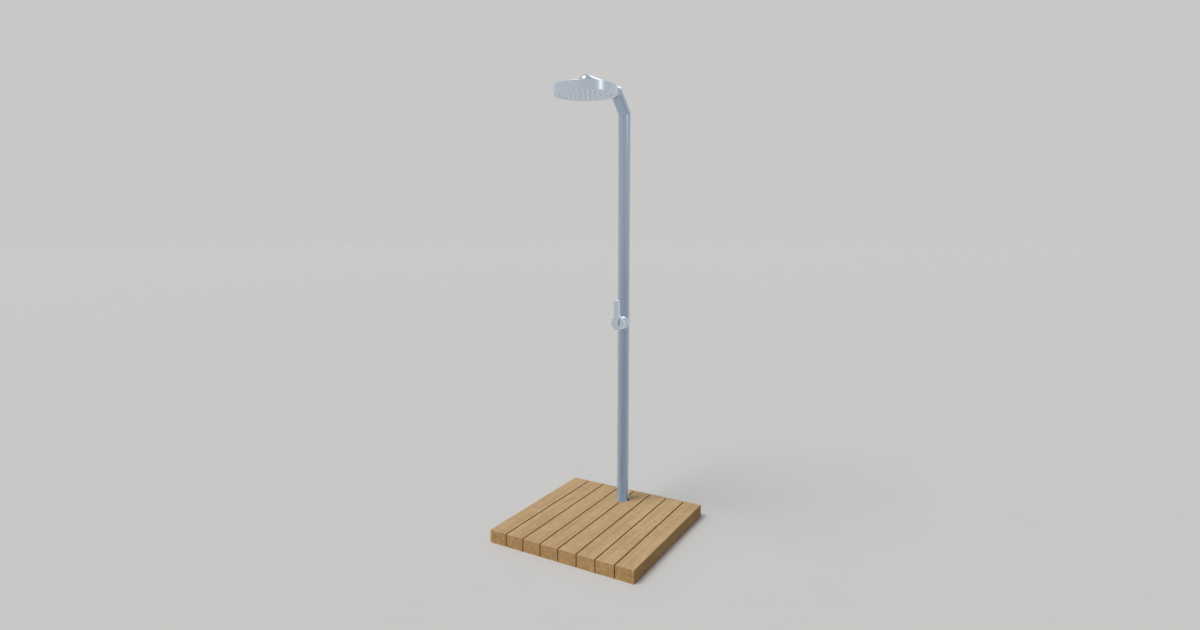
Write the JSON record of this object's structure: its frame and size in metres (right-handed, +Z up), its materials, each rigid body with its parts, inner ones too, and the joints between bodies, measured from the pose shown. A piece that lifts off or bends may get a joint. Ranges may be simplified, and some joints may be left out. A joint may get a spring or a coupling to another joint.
{
  "type": "outdoor shower post",
  "caption": "Free-standing outdoor shower: tubular steel post with a kinked arm, flat round rain head and quarter-turn lever valve, on a square slatted timber deck.",
  "frame": {"origin": "on the ground, under the centre of the deck", "axes": "+Z up along the post, -Y towards the front, where the head and the lever point, +X to the right of someone behind the post looking at the head"},
  "size_m": [0.802, 0.8, 2.2578],
  "materials": {
    "deck_wood": "planed and oiled, matte",
    "batten_wood": "sawn, matte",
    "screw_steel": "plain",
    "galvanised_steel": "galvanised, matte",
    "brass": "as machined",
    "pipe_plastic": "semi-matte",
    "satin_steel": "satin, smooth",
    "face_steel": "satin, smooth",
    "handle_steel": "satin, smooth",
    "dark_plastic": "matte",
    "nozzle_rubber": "soft, matte",
    "seal_rubber": "soft, matte",
    "valve_ceramic": "lapped"
  },
  "bodies": {
    "root": {"board_1": "deck_wood", "board_2": "deck_wood", "board_3": "deck_wood", "board_4": "deck_wood", "board_5": "deck_wood", "board_6": "deck_wood", "board_7": "deck_wood", "board_8": "deck_wood", "left_front_batten": "batten_wood", "left_rear_batten": "batten_wood", "right_front_batten": "batten_wood", "right_rear_batten": "batten_wood", "batten_screws": "screw_steel", "batten_dowels": "screw_steel", "base_plate": "galvanised_steel", "inlet_fitting": "brass", "supply_pipe": "pipe_plastic", "riser_pipe": "pipe_plastic", "pipe_nuts": "brass", "post_tube": "satin_steel", "knee_tube": "satin_steel", "arm_tube": "satin_steel", "arm_seat": "satin_steel", "arm_elbow": "brass", "neck_ring": "satin_steel", "neck_nipple": "brass", "head_shell": "satin_steel", "head_inlet": "brass", "backing_plate": "dark_plastic", "nozzle_mat": "nozzle_rubber", "face_plate": "face_steel", "head_screws": "screw_steel", "valve_housing": "satin_steel", "valve_body": "brass", "body_circlip": "screw_steel", "housing_screw": "screw_steel", "cartridge_body": "brass", "flat_washers": "seal_rubber", "fixed_disc": "valve_ceramic", "thrust_washer": "dark_plastic"},
    "handle": {"handle_cap": "handle_steel", "lever": "handle_steel", "lever_screws": "screw_steel", "cap_screw": "screw_steel", "spindle": "brass", "moving_disc": "valve_ceramic", "spindle_seals": "seal_rubber"}
  },
  "joints": [
    {"name": "lever_turn", "type": "hinge", "parent": "root", "child": "handle", "pos_m": [0, 0.182, 1.06], "axis": [0, -1, 0], "range_deg": [0, 90]}
  ]
}
